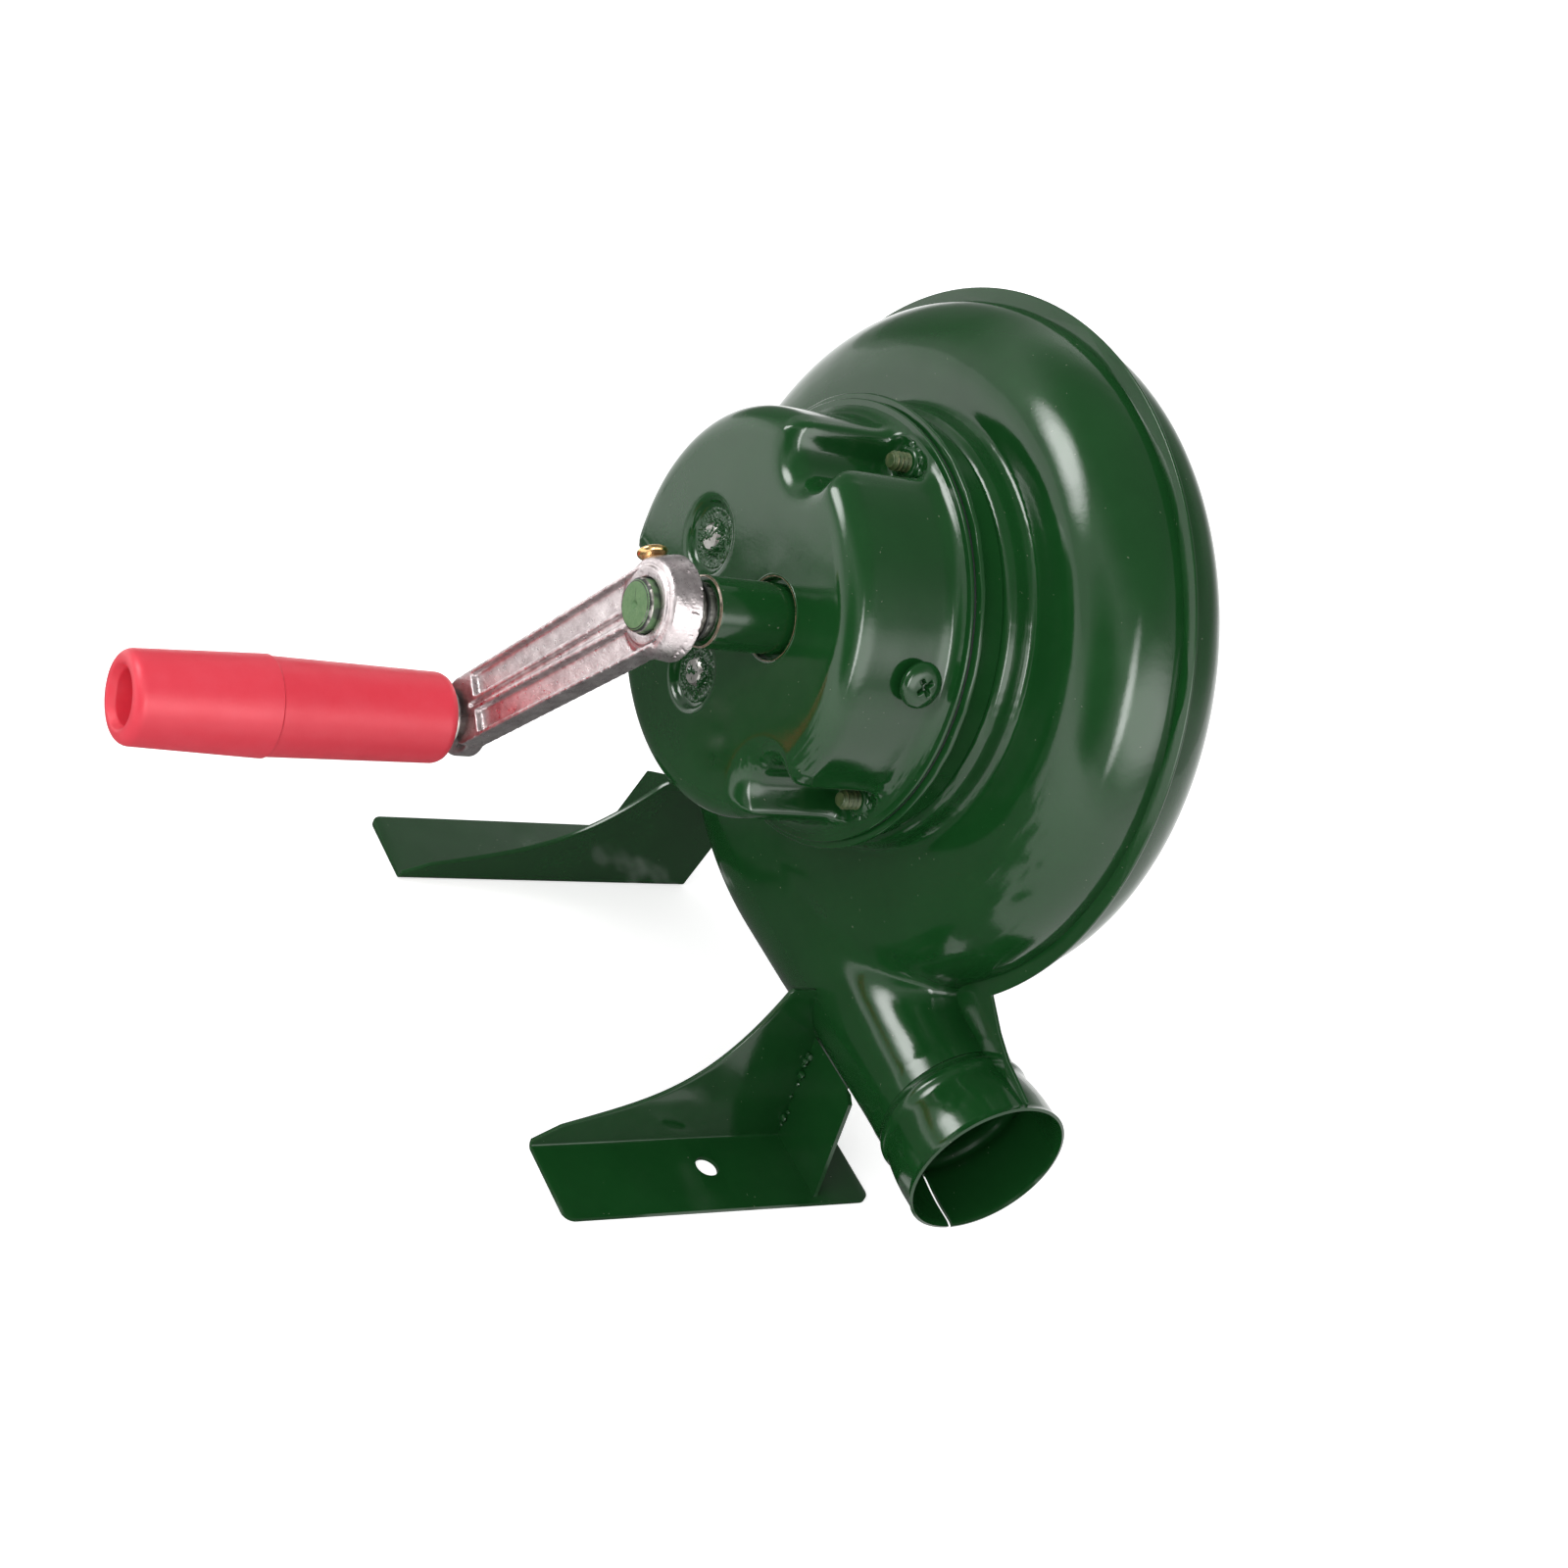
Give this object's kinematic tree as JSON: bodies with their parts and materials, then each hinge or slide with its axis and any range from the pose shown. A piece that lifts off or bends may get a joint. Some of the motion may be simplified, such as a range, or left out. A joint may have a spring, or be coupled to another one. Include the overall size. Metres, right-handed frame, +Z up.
{
  "type": "hand crank forge blower",
  "caption": "Hand cranked centrifugal air blower: sheet metal snail casing on two bolted feet, round gear case, crank arm with a free turning grip, round side outlet.",
  "frame": {"origin": "midway between the two bolt holes of the feet, on the floor", "axes": "+X towards the air outlet, +Y from the crank to the air inlet at the back, +Z up"},
  "size_m": [0.2497, 0.2761, 0.2713],
  "materials": {
    "green_enamel": "gloss",
    "bare_steel": "satin",
    "cast_aluminium": "satin",
    "yellow_zinc": "gloss",
    "bronze": "satin",
    "black_gasket": "matte",
    "red_plastic": "satin"
  },
  "bodies": {
    "frame": {"front_casing": "green_enamel", "rear_casing": "green_enamel", "left_foot": "green_enamel", "right_foot": "green_enamel", "left_gusset": "green_enamel", "right_gusset": "green_enamel", "gear_base": "green_enamel", "gasket": "black_gasket", "gear_cover": "green_enamel", "cover_screws": "bare_steel", "oil_screw": "green_enamel", "oil_screw_nut": "bare_steel", "shaft_sleeve": "green_enamel", "thrust_washer": "bronze", "axle_a": "bare_steel", "axle_b": "bare_steel", "spacers_a": "bronze", "spacers_b": "bronze", "bearing_tube": "bare_steel", "fan_bushes": "bronze", "bearing_screws": "bare_steel"},
    "crank": {"crank_shaft": "bare_steel", "crank_gear": "bare_steel", "crank_key": "bare_steel", "crank_arm": "cast_aluminium", "crank_washer": "bare_steel", "set_screw": "yellow_zinc", "handle_spindle": "bare_steel", "handle_washer": "bare_steel", "end_washer": "bare_steel", "end_nut": "bare_steel"},
    "idler_a": {"wheel_a": "bare_steel", "pinion_a": "bare_steel"},
    "idler_b": {"wheel_b": "bare_steel", "pinion_b": "bare_steel"},
    "fan": {"fan_shaft": "bare_steel", "fan_pinion": "bare_steel", "fan_hub": "cast_aluminium", "fan_disc": "bare_steel", "fan_blades": "bare_steel", "fan_washer": "bare_steel", "fan_nut": "bare_steel"},
    "grip": {"handle_grip": "red_plastic"}
  },
  "joints": [
    {"name": "crank_turn", "type": "hinge", "parent": "frame", "child": "crank", "pos_m": [0.0194, 0, 0.17686], "axis": [0, 1, 0], "continuous": true},
    {"name": "idler_a_turn", "type": "hinge", "parent": "frame", "child": "idler_a", "pos_m": [-0.02356, 0, 0.17496], "axis": [0, 1, 0], "continuous": true},
    {"name": "idler_b_turn", "type": "hinge", "parent": "frame", "child": "idler_b", "pos_m": [-0.00244, 0, 0.13982], "axis": [0, 1, 0], "continuous": true},
    {"name": "fan_turn", "type": "hinge", "parent": "frame", "child": "fan", "pos_m": [0, 0, 0.1652], "axis": [0, 1, 0], "continuous": true},
    {"name": "grip_turn", "type": "hinge", "parent": "crank", "child": "grip", "pos_m": [-0.03247, 0, 0.09254], "axis": [0, 1, 0], "continuous": true}
  ],
  "couplings": [
    {"joint": "idler_a_turn", "follows": "crank_turn", "ratio": -4.375},
    {"joint": "idler_b_turn", "follows": "crank_turn", "ratio": 8.4375},
    {"joint": "fan_turn", "follows": "crank_turn", "ratio": -27.422}
  ]
}
